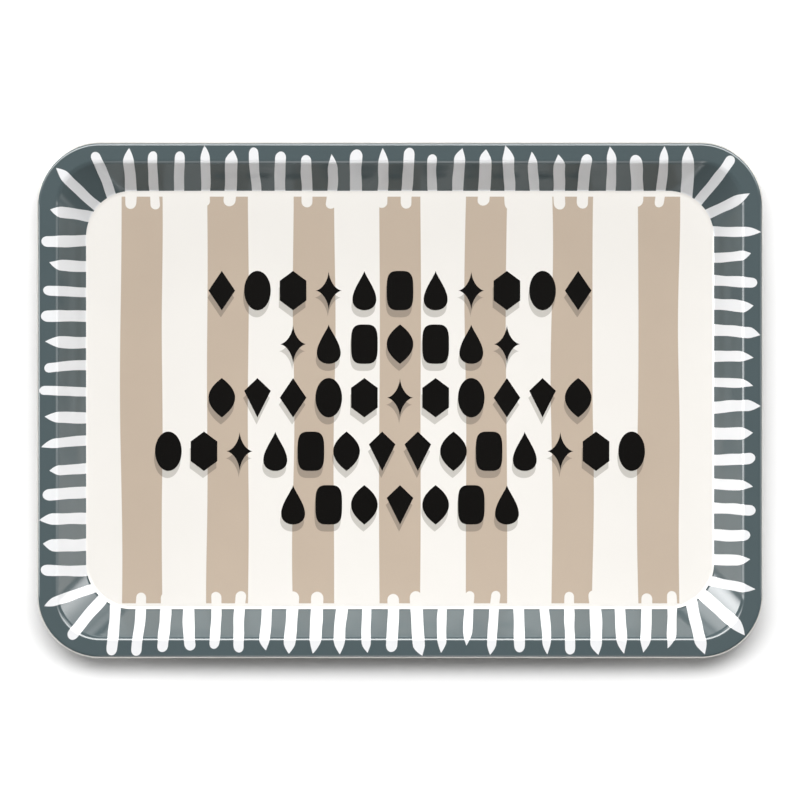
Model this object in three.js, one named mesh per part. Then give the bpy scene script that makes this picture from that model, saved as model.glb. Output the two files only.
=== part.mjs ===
// A rectangular tinplate serving tray, in millimetres: X along its length, Y across it, Z up from the table.
//
// The pan is one pressed sheet: a flat floor, a sloping wall, a flat lip and an edge rolled down and under.
// The roll closes round a stiffening wire, bent to the same outline and butted at the middle of the back
// side. Four low rubber feet are stuck under the floor.

import * as THREE from "three";

const trayLength = 380;
const trayWidth = 270;
const panHeight = 18; // underside of the floor to the top of the lip
const sheet = 0.4;

const lipWidth = 10.4; // outer edge of the roll to the bend at the top of the wall
const wallRun = 14.9; // plan width of the wall along the straight sides
const outerCorner = 33; // plan radius of the tray's corners, at the outer edge of the roll
const floorCorner = 24; // plan radius of the floor's corners
const lipBend = 3; // radius between wall and lip, at the middle of the sheet
const floorBend = 3; // radius between floor and wall, at the middle of the sheet

const wireDiameter = 2;
const wireClearance = 0.4; // between the wire and the inside of the roll
const wireButtGap = 1; // between the two ends of the wire
const rollWrap = THREE.MathUtils.degToRad(300); // how far round the wire the edge is rolled

const footDiameter = 12;
const footHeight = 2;
const footEdgeRadius = 1; // round-over where the foot meets the table
const footInset = 22; // centre of a foot to the floor's edge, both ways

const cornerSteps = 10; // facets in each quarter of the plan outline
const bendSteps = 3; // facets across a bend of the sheet
const rollSteps = 10; // facets round the roll
const wireSides = 10;
const footSides = 28;

const floorEdge = -(lipWidth + wallRun);
const rollRadius = wireDiameter / 2 + wireClearance + sheet / 2;
const rollCentre = { u: -(rollRadius + sheet / 2), z: panHeight - sheet / 2 - rollRadius };

// The sections below are drawn in a plane across the rim: u is the distance out from the tray's outer
// edge, so it is negative on the tray, and z is the height above the underside of the floor.

// Points along an arc of the sheet's middle surface, each with the unit normal of the printed face.
// facing is 1 where the printed face is outside the arc and -1 where it is inside.
function sheetArc(centre, radius, from, to, steps, facing) {
  return Array.from({ length: steps + 1 }, (_, step) => {
    const angle = from + ((to - from) * step) / steps;
    const out = { u: Math.cos(angle), z: Math.sin(angle) };
    return {
      u: centre.u + radius * out.u,
      z: centre.z + radius * out.z,
      normal: { u: facing * out.u, z: facing * out.z },
    };
  });
}

// The middle surface of the sheet, from the edge of the floor out to the end of the roll.
function sheetSection() {
  const down = -Math.PI / 2;
  const up = Math.PI / 2;
  const slope = Math.atan2(panHeight - sheet, wallRun);
  const floorCentre = {
    u: floorEdge - floorBend * Math.tan(slope / 2),
    z: sheet / 2 + floorBend,
  };
  const lipCentre = {
    u: -lipWidth + lipBend * Math.tan(slope / 2),
    z: panHeight - sheet / 2 - lipBend,
  };
  return [
    ...sheetArc(floorCentre, floorBend, down, down + slope, bendSteps, -1),
    ...sheetArc(lipCentre, lipBend, up + slope, up, bendSteps, 1),
    ...sheetArc(rollCentre, rollRadius, up, up - rollWrap, rollSteps, 1),
  ];
}

// Plan radius of the corners at a place in the section. The lip's outlines share one centre, and the
// wall widens a little round the corners, down to the floor's own radius.
function cornerRadius(u) {
  if (u >= -lipWidth) return outerCorner + u;
  return THREE.MathUtils.mapLinear(u, -lipWidth, floorEdge, outerCorner - lipWidth, floorCorner);
}

// The path that a point of the section takes round the tray, anticlockwise from above. With a gap it is
// an open path that starts and ends at the middle of the back side, and without one it is closed.
function ring({ u, z }, gap) {
  const radius = cornerRadius(u);
  const x = trayLength / 2 + u - radius;
  const y = trayWidth / 2 + u - radius;
  const height = footHeight + z;
  const cornerCentres = [
    [-x, y],
    [-x, -y],
    [x, -y],
    [x, y],
  ];
  const corners = cornerCentres.flatMap(([centreX, centreY], quarter) =>
    Array.from({ length: cornerSteps + 1 }, (_, step) => {
      const angle = (Math.PI / 2) * (quarter + 1 + step / cornerSteps);
      return new THREE.Vector3(
        centreX + radius * Math.cos(angle),
        centreY + radius * Math.sin(angle),
        height,
      );
    }),
  );
  if (!gap) return corners;
  const start = new THREE.Vector3(-gap / 2, y + radius, height);
  const end = new THREE.Vector3(gap / 2, y + radius, height);
  return [start, ...corners, end];
}

// A closed body from a row of closed, convex-ended loops: neighbours are joined by a band of triangles,
// and the first and last loops are filled in.
function bodyFromLoops(loops) {
  const size = loops[0].length;
  const index = [];
  for (let loop = 0; loop < loops.length - 1; loop++) {
    for (let step = 0; step < size; step++) {
      const next = (step + 1) % size;
      const a = loop * size + step;
      const b = loop * size + next;
      const c = a + size;
      const d = b + size;
      index.push(a, c, b, b, c, d);
    }
  }
  const last = (loops.length - 1) * size;
  for (let step = 1; step < size - 1; step++) {
    index.push(0, step, step + 1);
    index.push(last, last + step + 1, last + step);
  }
  const geometry = new THREE.BufferGeometry().setFromPoints(loops.flat());
  geometry.setIndex(index);
  geometry.computeVertexNormals();
  return geometry;
}

// One face of the sheet: the middle surface moved out along its normals by half the thickness.
function sheetFace(section, side) {
  return section.map(({ u, z, normal }) => ({
    u: u + (side * sheet * normal.u) / 2,
    z: z + (side * sheet * normal.z) / 2,
  }));
}

function panGeometry() {
  const section = sheetSection();
  const printedFace = sheetFace(section, 1);
  const plainFace = sheetFace(section, -1).reverse();
  return bodyFromLoops([...printedFace, ...plainFace].map((point) => ring(point)));
}

function wireGeometry() {
  const sectionRings = Array.from({ length: wireSides }, (_, side) => {
    const angle = (2 * Math.PI * side) / wireSides;
    const point = {
      u: rollCentre.u + (wireDiameter / 2) * Math.cos(angle),
      z: rollCentre.z + (wireDiameter / 2) * Math.sin(angle),
    };
    return ring(point, wireButtGap);
  });
  const stations = sectionRings[0].map((_, station) =>
    sectionRings.map((sectionRing) => sectionRing[station]),
  );
  return bodyFromLoops(stations);
}

function footGeometry() {
  const radius = footDiameter / 2;
  const profile = new THREE.Path()
    .moveTo(0, 0)
    .lineTo(radius - footEdgeRadius, 0)
    .absarc(radius - footEdgeRadius, footEdgeRadius, footEdgeRadius, -Math.PI / 2, 0)
    .lineTo(radius, footHeight)
    .lineTo(0, footHeight);
  return new THREE.LatheGeometry(profile.getPoints(4), footSides).rotateX(Math.PI / 2);
}

function tinplate() {
  return new THREE.MeshStandardMaterial({ color: 0xf4f0e8, roughness: 0.35, metalness: 0 });
}

function steelWire() {
  return new THREE.MeshStandardMaterial({ color: 0x9a9c9e, roughness: 0.4, metalness: 1 });
}

function footRubber() {
  return new THREE.MeshStandardMaterial({ color: 0x1d1d1e, roughness: 0.85, metalness: 0 });
}

function named(name, geometry, material) {
  const mesh = new THREE.Mesh(geometry, material);
  mesh.name = name;
  return mesh;
}

// The four feet, one near each corner of the floor.
function feet() {
  const group = new THREE.Group();
  const x = trayLength / 2 + floorEdge - footInset;
  const y = trayWidth / 2 + floorEdge - footInset;
  for (const [row, sideY] of [["front", -1], ["back", 1]]) {
    for (const [column, sideX] of [["left", -1], ["right", 1]]) {
      const foot = named(`foot_${row}_${column}`, footGeometry(), footRubber());
      foot.position.set(sideX * x, sideY * y, 0);
      group.add(foot);
    }
  }
  return group;
}

const tray = new THREE.Group();
tray.add(named("tray_pan", panGeometry(), tinplate()));
tray.add(named("rim_wire", wireGeometry(), steelWire()));
tray.add(feet());

export default tray;
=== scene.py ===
"""A rectangular tinplate serving tray, printed in stripes, brush strokes and rows of small ornaments.

Shapes are drawn in millimetres, in the CAD part's frame, and become metres where a mesh is made. X runs
along the tray, Y across it and Z up from the table. The pan is one sheet: its printed side is a plan
drawing, cut along the outlines of the artwork and lifted onto the section of the tray.
"""

import bisect
import math
import random

import bpy
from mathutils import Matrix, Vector
from mathutils.geometry import delaunay_2d_cdt


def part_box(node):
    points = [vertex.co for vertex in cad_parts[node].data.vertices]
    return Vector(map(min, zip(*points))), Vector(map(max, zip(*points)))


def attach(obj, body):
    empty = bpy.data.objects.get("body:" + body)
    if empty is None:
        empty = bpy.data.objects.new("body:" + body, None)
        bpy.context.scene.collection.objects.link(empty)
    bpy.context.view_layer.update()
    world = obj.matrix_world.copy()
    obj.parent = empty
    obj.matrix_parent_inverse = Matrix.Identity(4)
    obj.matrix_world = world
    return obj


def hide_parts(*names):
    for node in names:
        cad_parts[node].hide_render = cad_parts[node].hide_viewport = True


MILLIMETRE = 0.001  # in metres

# The tray's own sizes, as in the CAD part.
TRAY_LENGTH = 380
TRAY_WIDTH = 270
PAN_HEIGHT = 18  # underside of the floor to the top of the lip
SHEET = 0.4
LIP_WIDTH = 10.4  # outer edge to the bend at the top of the wall
WALL_RUN = 14.9  # plan width of the wall along the straight sides
OUTER_CORNER = 33
FLOOR_CORNER = 24
BEND = 3  # radius of both bends, at the middle of the sheet
WIRE_DIAMETER = 2
WIRE_CLEARANCE = 0.4
WIRE_BUTT_GAP = 1
ROLL_WRAP = 300  # degrees the edge is rolled round the wire
PRINTED_WRAP = 40  # degrees of the roll that are printed, and the rest is bare
FOOT_HEIGHT = 2

FLOOR_EDGE = -(LIP_WIDTH + WALL_RUN)
ROLL_RADIUS = WIRE_DIAMETER / 2 + WIRE_CLEARANCE + SHEET / 2
ROLL_CENTRE = Vector((-(ROLL_RADIUS + SHEET / 2), PAN_HEIGHT - SHEET / 2 - ROLL_RADIUS))

# The artwork.
STRIPE_COUNT = 7
STRIPE_PITCH = 45.2
STRIPE_WIDTH = 21.6
STRIPE_MARGIN = 3  # bare floor beyond the ends of a stripe
STROKE_COUNT = 84
STROKE_LINE = -18  # the u of the outline that the strokes are set out along
STROKE_GAPS = [1.3, 2, 3, 4, 5, 6.5]  # from the tip of a stroke to the outer edge, give or take 0.3
ORNAMENT_WIDTH = 14
ORNAMENT_HEIGHT = 20.7
ORNAMENT_PITCH = 18.7
ORNAMENT_ROWS = [11, 7, 11, 14, 7]  # ornaments in each row, from the back
ROW_PITCH = 28.1
ROWS_CENTRE = 1.2
SHADOW_OFFSET = Vector((-0.5, -3.7))
SEED = 12

# How finely the surfaces are cut.
CORNER_STEPS = 32
STRAIGHT_STEPS = 20
BEND_STEPS = 8
WALL_STEPS = 5
LIP_STEPS = 2
ROLL_STEPS = 30
SHAPE_STEPS = 48  # round a curved ornament
STROKE_STEPS = 24
STRIPE_STEPS = 28
WIRE_SIDES = 20
FOOT_SIDES = 64

# The pan's bake map is a square, with the printed side at the foot, the floor's back above it and the
# roll and the rest of the plain side, unrolled, at the top. All of it is in pixels.
MAP_SIZE = 1024
MAP_MARGIN = 16  # clear at the sides
PRINT_START = 6
BACK_START = 690
EDGE_START = 950
PRINT_SCALE = 2.6  # for each millimetre
BACK_SCALE = 0.9
EDGE_SCALE = 0.8
LEAST_BAND = 0.5

# How many times a value is corrected, to let it settle.
INSET_ROUNDS = 16
DISTANCE_ROUNDS = 10

# Where most of the values of a noise texture lie.
NOISE_LOW = 0.3
NOISE_HIGH = 0.7


# ---------------------------------------------------------------- the section of the sheet
# A section is drawn in a plane across the rim: x is the distance out from the tray's outer edge, so it
# is negative on the tray, and y is the height above the underside of the floor.


def sheet_arc(centre, radius, start, end, steps, facing):
    """Points along an arc of the sheet's middle surface, each with the normal of the printed side.

    facing is 1 where the printed side is outside the arc and -1 where it is inside.
    """
    places = []
    for step in range(steps + 1):
        angle = math.radians(start + (end - start) * step / steps)
        out = Vector((math.cos(angle), math.sin(angle)))
        places.append((centre + radius * out, facing * out))
    return places


def straight(start, end, steps):
    """Points between two places that share a normal, without the places themselves."""
    return [(start[0].lerp(end[0], step / steps), start[1]) for step in range(1, steps)]


def sheet_section():
    """The middle surface of the sheet, from the edge of the floor to the end of the roll."""
    slope = math.atan2(PAN_HEIGHT - SHEET, WALL_RUN)
    reach = BEND * math.tan(slope / 2)
    slope = math.degrees(slope)
    floor_centre = Vector((FLOOR_EDGE - reach, SHEET / 2 + BEND))
    lip_centre = Vector((-LIP_WIDTH + reach, PAN_HEIGHT - SHEET / 2 - BEND))
    floor_bend = sheet_arc(floor_centre, BEND, -90, -90 + slope, BEND_STEPS, -1)
    lip_bend = sheet_arc(lip_centre, BEND, 90 + slope, 90, BEND_STEPS, 1)
    roll = sheet_arc(ROLL_CENTRE, ROLL_RADIUS, 90, 90 - ROLL_WRAP, ROLL_STEPS, 1)
    wall = straight(floor_bend[-1], lip_bend[0], WALL_STEPS)
    lip = straight(lip_bend[-1], roll[0], LIP_STEPS)
    return floor_bend + wall + lip_bend + lip + roll


def sheet_side(section, side):
    """The printed side (1) or the plain side (-1) of the sheet, as points with outward normals."""
    return [(point + side * SHEET / 2 * normal, side * normal) for point, normal in section]


# ---------------------------------------------------------------- the plan outline
# u is the distance out from the tray's outer edge, so it is negative on the tray.


def corner_growth(u):
    """How fast the corner radius grows with u."""
    if u >= -LIP_WIDTH:
        return 1
    return (OUTER_CORNER - LIP_WIDTH - FLOOR_CORNER) / WALL_RUN


def corner_radius(u):
    """Plan radius of the corners at u."""
    return OUTER_CORNER - LIP_WIDTH + corner_growth(u) * (u + LIP_WIDTH)


def outline(u):
    """The path round the tray at u, anticlockwise from above: points, each with its outward direction.

    It starts at the left end of the back side.
    """
    radius = corner_radius(u)
    x = TRAY_LENGTH / 2 + u - radius
    y = TRAY_WIDTH / 2 + u - radius
    centres = [Vector((-x, y)), Vector((-x, -y)), Vector((x, -y)), Vector((x, y))]
    places = []
    for quarter, centre in enumerate(centres):
        for step in range(CORNER_STEPS + 1):
            angle = math.radians(90 * (quarter + 1 + step / CORNER_STEPS))
            out = Vector((math.cos(angle), math.sin(angle)))
            places.append((centre + radius * out, out))
        next_corner = (centres[(quarter + 1) % 4] + radius * out, out)
        places += straight(places[-1], next_corner, STRAIGHT_STEPS)
    return places


def inset(point):
    """The u of a plan point, and the outward direction of the outline through it.

    The corner radius depends on u itself, so u is corrected until it settles.
    """
    u = 0
    for _ in range(INSET_ROUNDS):
        radius = corner_radius(u)
        x = abs(point.x) - (TRAY_LENGTH / 2 + u - radius)
        y = abs(point.y) - (TRAY_WIDTH / 2 + u - radius)
        u += math.hypot(max(x, 0), max(y, 0)) + min(max(x, y), 0) - radius
    if max(x, y) > 0:
        out = Vector((max(x, 0), max(y, 0)))
    else:
        out = Vector((float(x >= y), float(x < y)))
    return u, Vector((math.copysign(out.x, point.x), math.copysign(out.y, point.y))).normalized()


def surface_normal(u, out, normal):
    """The normal in space where the section's normal is `normal` and the outline faces `out`."""
    growth = corner_growth(u)
    # How much u grows in a millimetre outwards: less than 1 round a corner whose centre moves with u.
    rate = 1 / ((1 - growth) * (abs(out.x) + abs(out.y)) + growth)
    level = normal.x * rate * out
    return Vector((level.x, level.y, normal.y)).normalized()


# ---------------------------------------------------------------- the artwork
# Every shape is a polygon drawn anticlockwise, in plan.


def hand_drawn(rng, size, reach):
    """A smooth random wobble along a line: a function of the distance along it."""
    waves = [(rng.uniform(0.6, 1.6) * reach, rng.uniform(0, math.tau)) for _ in range(3)]
    return lambda s: size * sum(math.sin(s / length + phase) for length, phase in waves) / 3


def stripe(rng, centre):
    """A painted stripe across the floor, with slightly uneven edges."""
    end = TRAY_WIDTH / 2 + FLOOR_EDGE - STRIPE_MARGIN
    heights = [-end + 2 * end * step / STRIPE_STEPS for step in range(STRIPE_STEPS + 1)]
    edges = []
    for side in (1, -1):
        wobble = hand_drawn(rng, size=0.7, reach=28)
        edge = [Vector((centre + side * STRIPE_WIDTH / 2 + wobble(y), y)) for y in heights]
        edges += edge[::side]  # up the right edge and down the left
    return edges


def distance_to(u, base, along):
    """How far it is from a base point to the outline at u, in the direction along.

    Outlines are not evenly spaced round the corners, so the distance is corrected until it settles.
    """
    distance = 0
    for _ in range(DISTANCE_ROUNDS):
        distance += u - inset(base + distance * along)[0]
    return distance


def stroke(rng, base, out):
    """A brush stroke across the rim, through a base point on the line that the strokes are set out on.

    It starts on the floor with a round heel, and its tip, near the outer edge, is pointed or round.
    """
    start = -rng.uniform(15, 17.5)
    gap = rng.choice(STROKE_GAPS) - rng.uniform(-0.3, 0.3)
    half_width = rng.uniform(2.4, 3.2)
    pointed = rng.random() < 0.7
    tip = rng.uniform(5, 8) if pointed else 1.2 * half_width
    apex = rng.uniform(-1.5, 1.5) if pointed else 0
    lean = math.radians(rng.uniform(-5, 5))
    bow = rng.uniform(-0.8, 0.8)
    along = Vector((
        out.x * math.cos(lean) - out.y * math.sin(lean),
        out.x * math.sin(lean) + out.y * math.cos(lean),
    ))
    left = Vector((-along.y, along.x))
    length = distance_to(-gap, base, along) - start
    edges = []
    for side in (-1, 1):
        wobble = hand_drawn(rng, size=0.22, reach=2.5)
        edge = []
        for step in range(1, STROKE_STEPS):
            s = length * (1 - math.cos(math.pi * step / STROKE_STEPS)) / 2
            heel = max(0, 1 - s / half_width)
            toe = max(0, 1 - (length - s) / tip)
            taper = math.sqrt(1 - heel**2) * (1 - toe**1.5 if pointed else math.sqrt(1 - toe**2))
            middle = bow * math.sin(math.pi * s / length) + apex * toe**2
            aside = side * (half_width + wobble(s)) * taper
            edge.append(base + (start + s) * along + (middle + aside) * left)
        edges.append(edge)
    heel_point = base + start * along
    tip_point = base + (start + length) * along + apex * left
    return [heel_point, *edges[0], tip_point, *reversed(edges[1])]


def round_the_rim(u, count):
    """Evenly spaced points along the outline at u, each with its outward direction."""
    places = outline(u)
    places.append(places[0])
    gaps = [(b[0] - a[0]).length for a, b in zip(places, places[1:])]
    pitch = sum(gaps) / count
    wanted = pitch / 2
    spaced = []
    for (start, start_out), (end, end_out), gap in zip(places, places[1:], gaps):
        while wanted <= gap:
            share = wanted / gap
            spaced.append((start.lerp(end, share), start_out.lerp(end_out, share).normalized()))
            wanted += pitch
        wanted -= gap
    return spaced


def superellipse(power):
    """|x|^power + |y|^power = 1: a star below 1, a lozenge at 1, an ellipse at 2, a cushion above."""
    shape = []
    for step in range(SHAPE_STEPS):
        angle = math.tau * step / SHAPE_STEPS
        x = math.copysign(abs(math.cos(angle)) ** (2 / power), math.cos(angle))
        y = math.copysign(abs(math.sin(angle)) ** (2 / power), math.sin(angle))
        shape.append(Vector((x, y)))
    return shape


def leaf():
    """Two arcs that meet in a point at the top and at the bottom."""
    steps = SHAPE_STEPS // 2
    heights = [2 * step / steps - 1 for step in range(steps)]
    right = [Vector((1 - y**2, y)) for y in heights]
    return right + [-point for point in right]


def drop():
    """A drop: pointed at the top and round below."""
    shape = []
    for step in range(SHAPE_STEPS):
        angle = math.tau * step / SHAPE_STEPS
        shape.append(Vector((1.3 * math.sin(angle) * math.sin(angle / 2) ** 1.6, math.cos(angle))))
    return shape[::-1]


def hexagon():
    return [Vector(corner) for corner in ((0, 1), (-1, 0.5), (-1, -0.5), (0, -1), (1, -0.5), (1, 0.5))]


def kite():
    return [Vector(corner) for corner in ((0, 1), (-1, 0.35), (0, -1), (1, 0.35))]


ORNAMENTS = [
    superellipse(1),
    superellipse(2),
    hexagon(),
    superellipse(0.62),
    drop(),
    superellipse(3.5),
    leaf(),
    kite(),
]


def ornament_rows():
    """The shape and the centre of every ornament. Each row is the same from either end."""
    placed = []
    middle_row = (len(ORNAMENT_ROWS) - 1) / 2
    for row, count in enumerate(ORNAMENT_ROWS):
        y = ROWS_CENTRE + (middle_row - row) * ROW_PITCH
        for column in range(count):
            kind = ORNAMENTS[(3 * row + min(column, count - 1 - column)) % len(ORNAMENTS)]
            x = (column - (count - 1) / 2) * ORNAMENT_PITCH
            placed.append((kind, Vector((x, y))))
    return placed


def artwork():
    """The printed shapes in paint order: (layer, polygon)."""
    rng = random.Random(SEED)
    floor = [point for point, _ in outline(FLOOR_EDGE)]
    shapes = [("cream", floor)]
    for number in range(STRIPE_COUNT):
        centre = (number - (STRIPE_COUNT - 1) / 2) * STRIPE_PITCH
        shapes.append(("taupe", stripe(rng, centre)))
    for base, out in round_the_rim(STROKE_LINE, STROKE_COUNT):
        shapes.append(("stroke", stroke(rng, base, out)))
    half_size = Vector((ORNAMENT_WIDTH / 2, ORNAMENT_HEIGHT / 2))
    ornaments = [[centre + point * half_size for point in kind] for kind, centre in ornament_rows()]
    shapes += [("shadow", [point + SHADOW_OFFSET for point in shape]) for shape in ornaments]
    shapes += [("black", shape) for shape in ornaments]
    return shapes


def ink_after(layer, below):
    """The ink that shows once a layer is painted over another ink."""
    if layer == "stroke":
        return "white" if below == "slate" else "cream"
    if layer == "shadow":
        return {"cream": "shaded cream", "taupe": "shaded taupe"}.get(below, below)
    return layer


# ---------------------------------------------------------------- the pan


class Shell:
    """A mesh under construction: points with their normals, and faces with their ink and map places."""

    def __init__(self):
        self.points = []
        self.normals = []
        self.faces = []
        self.inks = []
        self.map_places = []

    def add_point(self, point, normal):
        self.points.append(point)
        self.normals.append(normal)
        return len(self.points) - 1

    def add_face(self, corners, ink, map_places):
        self.faces.append(corners)
        self.inks.append(ink)
        self.map_places.append(map_places)


def print_place(point):
    """Where a point of the printed side is in the bake map."""
    return (
        MAP_MARGIN + (point.x + TRAY_LENGTH / 2) * PRINT_SCALE,
        PRINT_START + (point.y + TRAY_WIDTH / 2) * PRINT_SCALE,
    )


def back_place(point):
    """Where a point of the floor's underside is in the bake map."""
    return (
        MAP_MARGIN + (TRAY_LENGTH / 2 - point.x) * BACK_SCALE,
        BACK_START + (point.y + TRAY_WIDTH / 2) * BACK_SCALE,
    )


def plan_drawing(stations):
    """The printed side in plan, cut along the rings of the section and the outlines of the artwork.

    Returns its points, its triangles, the ink of each triangle, and the points of its outermost ring.
    """
    points = []
    ring_edges = []
    ring_size = len(outline(0))
    for point, _ in reversed(stations):
        first = len(points)
        points += [place for place, _ in outline(point.x)]
        ring_edges += [(first + step, first + (step + 1) % ring_size) for step in range(ring_size)]
    layers = ["slate"]
    regions = [list(range(ring_size))]
    for layer, shape in artwork():
        regions.append(list(range(len(points), len(points) + len(shape))))
        points += shape
        layers.append(layer)
    inside_only = 1  # leaves out the triangles that are outside every region
    merge_distance = 1e-4
    places, _, triangles, sources, _, coverings = delaunay_2d_cdt(
        points, ring_edges, regions, inside_only, merge_distance
    )
    inks = []
    for covering in coverings:
        ink = ""
        for region in sorted(covering):
            ink = ink_after(layers[region], ink)
        inks.append(ink)
    outermost = [None] * ring_size
    for vertex, inputs in enumerate(sources):
        for source in inputs:
            if source < ring_size:
                outermost[source] = vertex
    return places, triangles, inks, outermost


def lifted(place, stations):
    """Where a point of the plan is in space, with the surface's normal there."""
    u, out = inset(place)
    after = bisect.bisect(stations, u, key=lambda station: station[0].x)
    after = max(1, min(after, len(stations) - 1))
    start, start_normal = stations[after - 1]
    end, end_normal = stations[after]
    share = max(0, min(1, (u - start.x) / (end.x - start.x)))
    height = start.lerp(end, share).y
    normal = start_normal.lerp(end_normal, share)
    return Vector((place.x, place.y, height)), surface_normal(u, out, normal)


def add_printed_side(shell, stations):
    """The printed side: the plan drawing, lifted onto the section. Returns its outermost ring."""
    places, triangles, inks, outermost = plan_drawing(stations)
    for place in places:
        shell.add_point(*lifted(place, stations))
    for corners, ink in zip(triangles, inks):
        shell.add_face(corners, ink, [print_place(places[corner]) for corner in corners])
    return outermost


def add_ring(shell, point, normal):
    """A ring of the section round the whole tray."""
    ring = []
    for place, out in outline(point.x):
        position = Vector((place.x, place.y, point.y))
        ring.append(shell.add_point(position, surface_normal(point.x, out, normal)))
    return ring


def add_band(shell, inner, outer, ink, start, end):
    """A band of faces between two rings. start and end are its edges in the bake map."""
    steps = len(inner)
    width = (MAP_SIZE - 2 * MAP_MARGIN) / steps
    for step in range(steps):
        after = (step + 1) % steps
        left = MAP_MARGIN + step * width
        right = MAP_MARGIN + (step + 1) * width
        corners = [inner[step], outer[step], outer[after], inner[after]]
        shell.add_face(corners, ink, [(left, start), (left, end), (right, end), (right, start)])


def add_bare_sides(shell, outermost, roll, plain):
    """The rest of the roll, the plain side of the sheet back in to the floor, and the floor's back."""
    start = EDGE_START
    inner = outermost
    inner_point = roll[0][0]
    for point, normal in roll[1:] + plain:
        ring = add_ring(shell, point, normal)
        end = start + max(LEAST_BAND, (point - inner_point).length * EDGE_SCALE)
        add_band(shell, inner, ring, "tin", start, end)
        inner = ring
        inner_point = point
        start = end
    back = inner[::-1]
    shell.add_face(back, "tin", [back_place(shell.points[corner]) for corner in back])


def printed_pan():
    """The whole pan: one closed sheet, printed on top and bare tin at the edge and below."""
    section = sheet_section()
    printed = sheet_side(section, 1)
    plain = sheet_side(section, -1)[::-1]
    roll_start = len(section) - 1 - ROLL_STEPS
    shoulder = roll_start + ROLL_STEPS * PRINTED_WRAP // ROLL_WRAP
    shell = Shell()
    outermost = add_printed_side(shell, printed[: shoulder + 1])
    add_bare_sides(shell, outermost, printed[shoulder:], plain)
    return shell


# ---------------------------------------------------------------- the wire and the feet
# The bake map is the pan's alone, so the faces here have no real places in it.


def rim_wire():
    """The stiffening wire inside the roll, cut at the middle of the back side."""
    back_y = TRAY_WIDTH / 2 + ROLL_CENTRE.x
    back = Vector((0, 1))
    gap = Vector((WIRE_BUTT_GAP / 2, 0))
    chamfer = Vector((0.15, 0))
    path = outline(ROLL_CENTRE.x)[: 1 - STRAIGHT_STEPS]
    left = Vector((0, back_y)) - gap
    right = Vector((0, back_y)) + gap
    path = [(left, back), (left - chamfer, back), *path, (right + chamfer, back), (right, back)]
    shell = Shell()
    rings = []
    for station, (place, out) in enumerate(path):
        radius = WIRE_DIAMETER / 2
        if station in (0, len(path) - 1):
            radius -= chamfer.x
        ring = []
        for side in range(WIRE_SIDES):
            angle = math.tau * side / WIRE_SIDES
            level = radius * math.cos(angle) * out
            height = ROLL_CENTRE.y + radius * math.sin(angle)
            point = Vector((place.x + level.x, place.y + level.y, height))
            ring.append(shell.add_point(point, None))
        rings.append(ring)
    for ring, following in zip(rings, rings[1:]):
        add_band(shell, ring, following, "wire", 0, 0)
    shell.add_face(rings[0], "wire", [])
    shell.add_face(rings[-1][::-1], "wire", [])
    return shell


def rubber_foot(centre, radius):
    """A stick-on bumper: a moulded rubber disc, dished below, on a thin pad of adhesive."""
    hub = 0.01  # radius of the rings at the middle
    edge_radius = 1
    side = [(radius - 0.1, 1.8), (radius, 1.4), (radius, edge_radius)]
    edge = []
    for degrees in range(-15, -91, -15):
        angle = math.radians(degrees)
        across = radius - edge_radius + edge_radius * math.cos(angle)
        edge.append((across, edge_radius + edge_radius * math.sin(angle)))
    dish = [(radius - 2.1, 0), (radius - 2.4, 0.12), (radius - 2.9, 0.3), (hub, 0.34)]
    pad = [(hub, FOOT_HEIGHT), (radius - 0.5, FOOT_HEIGHT), (radius - 0.5, 1.82)]
    shell = Shell()
    rings = []
    for distance, height in [*pad, *side, *edge, *dish]:
        ring = []
        for step in range(FOOT_SIDES):
            angle = math.tau * step / FOOT_SIDES
            level = Vector((math.cos(angle), math.sin(angle))) * distance
            point = Vector((centre.x + level.x, centre.y + level.y, height - FOOT_HEIGHT))
            ring.append(shell.add_point(point, None))
        rings.append(ring)
    for number, (ring, following) in enumerate(zip(rings, rings[1:])):
        ink = "adhesive" if number < len(pad) - 1 else "rubber"
        add_band(shell, ring, following, ink, 0, 0)
    shell.add_face(rings[0], "adhesive", [])
    shell.add_face(rings[-1][::-1], "rubber", [])
    return shell


# ---------------------------------------------------------------- materials


def noise(tree, size, detail=2, stretch=(1, 1, 1)):
    """Noise with lumps about `size` millimetres across, at the object's real size."""
    place = tree.nodes.new("ShaderNodeTexCoord")
    scale = tree.nodes.new("ShaderNodeMapping")
    scale.inputs["Scale"].default_value = [1 / (size * MILLIMETRE * longer) for longer in stretch]
    texture = tree.nodes.new("ShaderNodeTexNoise")
    texture.inputs["Scale"].default_value = 1
    texture.inputs["Detail"].default_value = detail
    tree.links.new(place.outputs["Object"], scale.inputs["Vector"])
    tree.links.new(scale.outputs["Vector"], texture.inputs["Vector"])
    return texture.outputs["Fac"]


def blend(tree, first, second, share):
    """A weighted mean of two values."""
    mix = tree.nodes.new("ShaderNodeMix")
    mix.inputs["Factor"].default_value = share
    tree.links.new(first, mix.inputs["A"])
    tree.links.new(second, mix.inputs["B"])
    return mix.outputs["Result"]


def spread(tree, value, low, high):
    """Noise turned into a number between low and high."""
    scale = tree.nodes.new("ShaderNodeMapRange")
    scale.inputs["From Min"].default_value = NOISE_LOW
    scale.inputs["From Max"].default_value = NOISE_HIGH
    scale.inputs["To Min"].default_value = low
    scale.inputs["To Max"].default_value = high
    tree.links.new(value, scale.inputs["Value"])
    return scale.outputs["Result"]


def tint(tree, value, colour, contrast):
    """Noise turned into shades of a colour, darker and lighter by the share `contrast`."""
    ramp = tree.nodes.new("ShaderNodeValToRGB")
    dark, light = ramp.color_ramp.elements
    dark.position = NOISE_LOW
    light.position = NOISE_HIGH
    dark.color = [*(part * (1 - contrast) for part in colour), 1]
    light.color = [*(min(1, part * (1 + contrast)) for part in colour), 1]
    tree.links.new(value, ramp.inputs["Fac"])
    return ramp.outputs["Color"]


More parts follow.
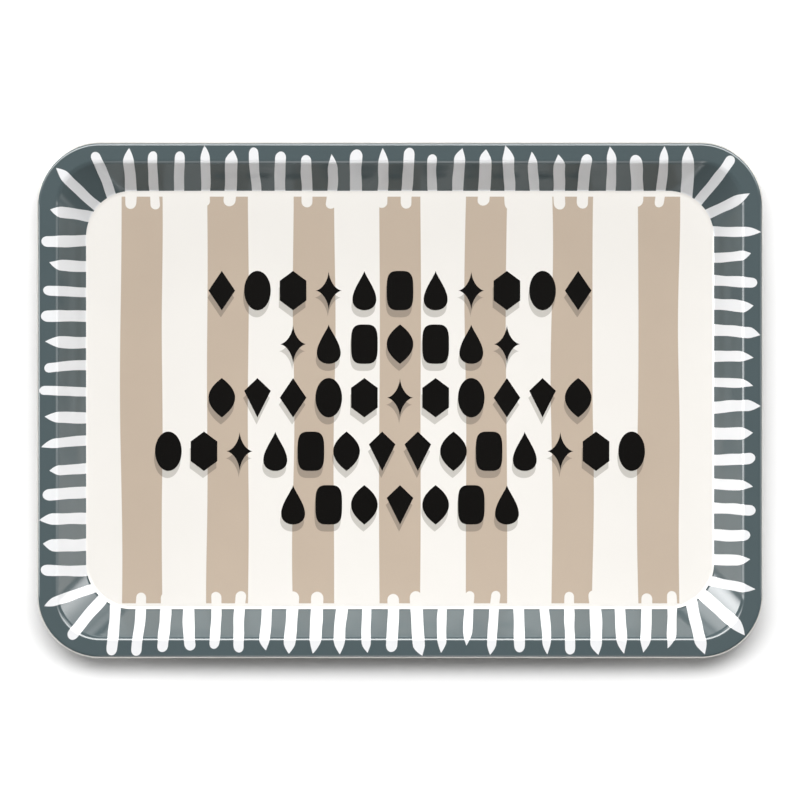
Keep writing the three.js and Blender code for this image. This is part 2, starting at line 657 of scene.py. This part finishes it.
def bumps(tree, value, depth, below=None):
    """Bumps `depth` millimetres deep, on top of the coarser bumps below."""
    bump = tree.nodes.new("ShaderNodeBump")
    bump.inputs["Distance"].default_value = depth * MILLIMETRE
    tree.links.new(value, bump.inputs["Height"])
    if below:
        tree.links.new(below, bump.inputs["Normal"])
    return bump.outputs["Normal"]


def new_material(name):
    material = bpy.data.materials.new(name)
    material.use_nodes = True
    return material, material.node_tree, material.node_tree.nodes["Principled BSDF"]


def printed_ink(name, colour, contrast):
    """A flat ink under clear varnish, with mottling, print grain and the ripple of a pressed sheet."""
    material, tree, surface = new_material(name)
    mottle = blend(tree, noise(tree, 35, 3), noise(tree, 0.5), 0.4)
    ripple = bumps(tree, noise(tree, 45, 1), 0.05)
    peel = bumps(tree, noise(tree, 1.6), 0.004, ripple)
    tree.links.new(tint(tree, mottle, colour, contrast), surface.inputs["Base Color"])
    tree.links.new(spread(tree, noise(tree, 6, 3), 0.42, 0.5), surface.inputs["Roughness"])
    tree.links.new(peel, surface.inputs["Normal"])
    tree.links.new(peel, surface.inputs["Coat Normal"])
    surface.inputs["Specular IOR Level"].default_value = 0
    surface.inputs["Coat Weight"].default_value = 1
    surface.inputs["Coat Roughness"].default_value = 0.1
    surface.inputs["Coat IOR"].default_value = 1.8
    return material


def bare_tin():
    """The unprinted side: rolled tinplate under clear lacquer, with faint grain along its length."""
    material, tree, surface = new_material("lacquered tin")
    grain = noise(tree, 0.4, 3, (40, 1, 1))
    cloud = blend(tree, noise(tree, 30, 4), grain, 0.35)
    ripple = bumps(tree, noise(tree, 45, 1), 0.05)
    tree.links.new(tint(tree, cloud, (0.62, 0.61, 0.58), 0.12), surface.inputs["Base Color"])
    tree.links.new(spread(tree, cloud, 0.28, 0.42), surface.inputs["Roughness"])
    tree.links.new(bumps(tree, grain, 0.003, ripple), surface.inputs["Normal"])
    surface.inputs["Metallic"].default_value = 1
    return material


def drawn_steel():
    """Galvanised wire, with fine marks from drawing and a dull bloom."""
    material, tree, surface = new_material("drawn wire")
    bloom = noise(tree, 3, 4)
    tree.links.new(tint(tree, bloom, (0.5, 0.51, 0.52), 0.2), surface.inputs["Base Color"])
    tree.links.new(spread(tree, bloom, 0.35, 0.55), surface.inputs["Roughness"])
    tree.links.new(bumps(tree, noise(tree, 0.15, 2, (10, 10, 1)), 0.005), surface.inputs["Normal"])
    surface.inputs["Metallic"].default_value = 1
    return material


def moulded_rubber():
    """Matt black rubber, with a little dust and moulding texture."""
    material, tree, surface = new_material("foot rubber")
    dust = blend(tree, noise(tree, 4, 4), noise(tree, 0.3), 0.5)
    tree.links.new(tint(tree, dust, (0.022, 0.022, 0.023), 0.5), surface.inputs["Base Color"])
    tree.links.new(spread(tree, dust, 0.65, 0.85), surface.inputs["Roughness"])
    tree.links.new(bumps(tree, noise(tree, 0.35), 0.01), surface.inputs["Normal"])
    return material


def adhesive_pad():
    """The pale foam pad between a foot and the tray."""
    material, tree, surface = new_material("adhesive pad")
    foam = noise(tree, 0.4, 3)
    tree.links.new(tint(tree, foam, (0.7, 0.69, 0.64), 0.1), surface.inputs["Base Color"])
    surface.inputs["Roughness"].default_value = 0.7
    tree.links.new(bumps(tree, noise(tree, 0.3), 0.02), surface.inputs["Normal"])
    return material


def pan_materials():
    return {
        "slate": printed_ink("slate ink", (0.074, 0.100, 0.107), 0.04),
        "cream": printed_ink("cream ink", (0.80, 0.775, 0.735), 0.012),
        "taupe": printed_ink("taupe ink", (0.50, 0.41, 0.325), 0.025),
        "white": printed_ink("white ink", (0.77, 0.775, 0.785), 0.012),
        "shaded cream": printed_ink("shaded cream ink", (0.535, 0.515, 0.475), 0.02),
        "shaded taupe": printed_ink("shaded taupe ink", (0.32, 0.267, 0.215), 0.03),
        "black": printed_ink("black ink", (0.004, 0.0035, 0.003), 0.2),
        "tin": bare_tin(),
    }


# ---------------------------------------------------------------- putting the pieces in place


def make_object(name, shell, materials):
    """A Blender object from a shell, raised by the height of the feet, with a slot for each ink."""
    mesh = bpy.data.meshes.new(name)
    up = Vector((0, 0, FOOT_HEIGHT))
    mesh.from_pydata([(point + up) * MILLIMETRE for point in shell.points], [], shell.faces)
    inks = list(materials)
    for ink in inks:
        mesh.materials.append(materials[ink])
    for face, ink in zip(mesh.polygons, shell.inks):
        face.material_index = inks.index(ink)
        face.use_smooth = True
    made = bpy.data.objects.new(name, mesh)
    bpy.context.collection.objects.link(made)
    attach(made, "root")
    return made


def place_pan():
    shell = printed_pan()
    pan = make_object("tray_pan_printed", shell, pan_materials())
    bake_map = pan.data.uv_layers.new(name="OFBake")
    corners = [place for places in shell.map_places for place in places]
    for corner, (x, y) in zip(bake_map.uv, corners):
        corner.vector = (x / MAP_SIZE, y / MAP_SIZE)
    pan.data.normals_split_custom_set_from_vertices(shell.normals)
    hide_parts("tray_pan")


def place_wire():
    wire = make_object("rim_wire_drawn", rim_wire(), {"wire": drawn_steel()})
    wire.data.set_sharp_from_angle(angle=math.radians(60))
    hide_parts("rim_wire")


def place_feet():
    materials = {"rubber": moulded_rubber(), "adhesive": adhesive_pad()}
    for corner in ("front_left", "front_right", "back_left", "back_right"):
        low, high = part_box(f"foot_{corner}")
        centre = (low + high) / 2 / MILLIMETRE
        radius = (high.x - low.x) / 2 / MILLIMETRE
        foot = make_object(f"foot_bumper_{corner}", rubber_foot(centre, radius), materials)
        foot.data.set_sharp_from_angle(angle=math.radians(40))
        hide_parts(f"foot_{corner}")


# ---------------------------------------------------------------- the studio
# Everything here is in metres.


def add_table():
    """A plain pale surface under the tray."""
    table_size = 8
    bpy.ops.mesh.primitive_plane_add(size=table_size)
    table = bpy.context.object
    table.name = "table"
    material, tree, surface = new_material("table paper")
    mottle = noise(tree, 20, 3)
    tree.links.new(tint(tree, mottle, (0.9, 0.9, 0.9), 0.004), surface.inputs["Base Color"])
    surface.inputs["Roughness"].default_value = 0.9
    surface.inputs["Specular IOR Level"].default_value = 0.1
    table.data.materials.append(material)


def soften(light):
    """Fade a rectangular light from its middle to its edges, at the same power."""
    light.use_nodes = True
    tree = light.node_tree
    place = tree.nodes.new("ShaderNodeNewGeometry")
    rest = tree.nodes.new("ShaderNodeVectorMath")
    rest.operation = "SUBTRACT"
    rest.inputs[0].default_value = (1, 1, 1)
    arch = tree.nodes.new("ShaderNodeVectorMath")
    arch.operation = "MULTIPLY"
    split = tree.nodes.new("ShaderNodeSeparateXYZ")
    dome = tree.nodes.new("ShaderNodeMath")
    dome.operation = "MULTIPLY"
    strength = tree.nodes.new("ShaderNodeMath")
    strength.operation = "MULTIPLY"
    strength.inputs[1].default_value = 36  # makes the mean over the light 1
    tree.links.new(place.outputs["Parametric"], rest.inputs[1])
    tree.links.new(place.outputs["Parametric"], arch.inputs[0])
    tree.links.new(rest.outputs["Vector"], arch.inputs[1])
    tree.links.new(arch.outputs["Vector"], split.inputs["Vector"])
    tree.links.new(split.outputs["X"], dome.inputs[0])
    tree.links.new(split.outputs["Y"], dome.inputs[1])
    tree.links.new(dome.outputs["Value"], strength.inputs[0])
    tree.links.new(strength.outputs["Value"], tree.nodes["Emission"].inputs["Strength"])


def add_softbox(name, place, size, radiance, target=(0, 0, 0), beam=180):
    """A rectangular light at a place, facing a target. beam is the angle of its beam, in degrees."""
    light = bpy.data.lights.new(name, "AREA")
    soften(light)
    light.shape = "RECTANGLE"
    light.size, light.size_y = size
    light.energy = radiance * math.pi * size[0] * size[1]
    light.spread = math.radians(beam)
    box = bpy.data.objects.new(name, light)
    bpy.context.collection.objects.link(box)
    box.location = place
    box.rotation_euler = (Vector(place) - Vector(target)).to_track_quat("Z", "Y").to_euler()
    box.visible_camera = False


def add_lights():
    """A large key light high at the back, and the lights that show in the varnish.

    The low ones at the back show in the front wall and its corners, and the strips in the bends. The two
    small ones beside the tray light the front of its side walls.
    """
    add_softbox("key", (0, 10.4, 23.8), (44, 17), 4.2)
    add_softbox("low back", (0, 5.1, 0.96), (5.2, 1.7), 1.1)
    add_softbox("back left", (-4.3, 3.25, 0.5), (6.2, 2), 5.5)
    add_softbox("back right", (4.3, 3.25, 0.5), (6.2, 2), 3)

    away = 4.6
    height = 3.86
    add_softbox("left", (-away, 0, height), (0.55, 6.3), 2.8)
    add_softbox("right", (away, 0, height), (0.55, 6.3), 0.9)
    add_softbox("front", (0, -away, height), (0.8, 6.3), 0.8)

    target = (0, -0.19, 0.03)
    add_softbox("low left", (-0.6, -0.19, 0.11), (0.42, 0.16), 0.053, target, beam=40)
    add_softbox("low right", (0.6, -0.19, 0.11), (0.42, 0.16), 0.053, target, beam=40)


def add_sky():
    """A pale surround, dimmer overhead, and white where the camera sees it."""
    world = bpy.data.worlds.new("studio")
    bpy.context.scene.world = world
    world.use_nodes = True
    tree = world.node_tree
    seen = tree.nodes["Background"]
    seen.inputs["Color"].default_value = (1, 1, 1, 1)
    seen.inputs["Strength"].default_value = 1
    shining = tree.nodes.new("ShaderNodeBackground")
    shining.inputs["Color"].default_value = (1, 1, 1, 1)
    direction = tree.nodes.new("ShaderNodeTexCoord")
    split = tree.nodes.new("ShaderNodeSeparateXYZ")
    fade = tree.nodes.new("ShaderNodeMapRange")
    fade.inputs["To Min"].default_value = 0.12  # at the horizon
    fade.inputs["To Max"].default_value = 0.02  # straight above
    tree.links.new(direction.outputs["Generated"], split.inputs["Vector"])
    tree.links.new(split.outputs["Z"], fade.inputs["Value"])
    tree.links.new(fade.outputs["Result"], shining.inputs["Strength"])
    path = tree.nodes.new("ShaderNodeLightPath")
    mix = tree.nodes.new("ShaderNodeMixShader")
    tree.links.new(path.outputs["Is Camera Ray"], mix.inputs["Fac"])
    tree.links.new(shining.outputs["Background"], mix.inputs[1])
    tree.links.new(seen.outputs["Background"], mix.inputs[2])
    tree.links.new(mix.outputs["Shader"], tree.nodes["World Output"].inputs["Surface"])


def add_camera():
    """Straight above the tray and far away. The top of the picture is the back, as in the photograph."""
    camera = bpy.data.cameras.new("camera")
    camera.lens = 600
    camera.sensor_width = 36
    camera.clip_end = 50
    lip_height = (PAN_HEIGHT + FOOT_HEIGHT) * MILLIMETRE
    view_width = 0.4187  # at the height of the lip
    view = bpy.data.objects.new("camera", camera)
    bpy.context.collection.objects.link(view)
    view.location = (0, 0, lip_height + view_width * camera.lens / camera.sensor_width)
    bpy.context.scene.camera = view


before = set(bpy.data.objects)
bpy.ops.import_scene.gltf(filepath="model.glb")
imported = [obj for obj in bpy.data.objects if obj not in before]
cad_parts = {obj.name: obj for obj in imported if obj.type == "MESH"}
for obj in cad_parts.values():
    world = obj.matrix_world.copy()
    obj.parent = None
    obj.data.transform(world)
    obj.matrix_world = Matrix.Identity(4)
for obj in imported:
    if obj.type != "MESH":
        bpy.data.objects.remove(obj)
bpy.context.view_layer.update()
place_pan()
place_wire()
place_feet()
add_table()
add_lights()
add_sky()
add_camera()
bpy.context.scene.view_settings.view_transform = "Standard"
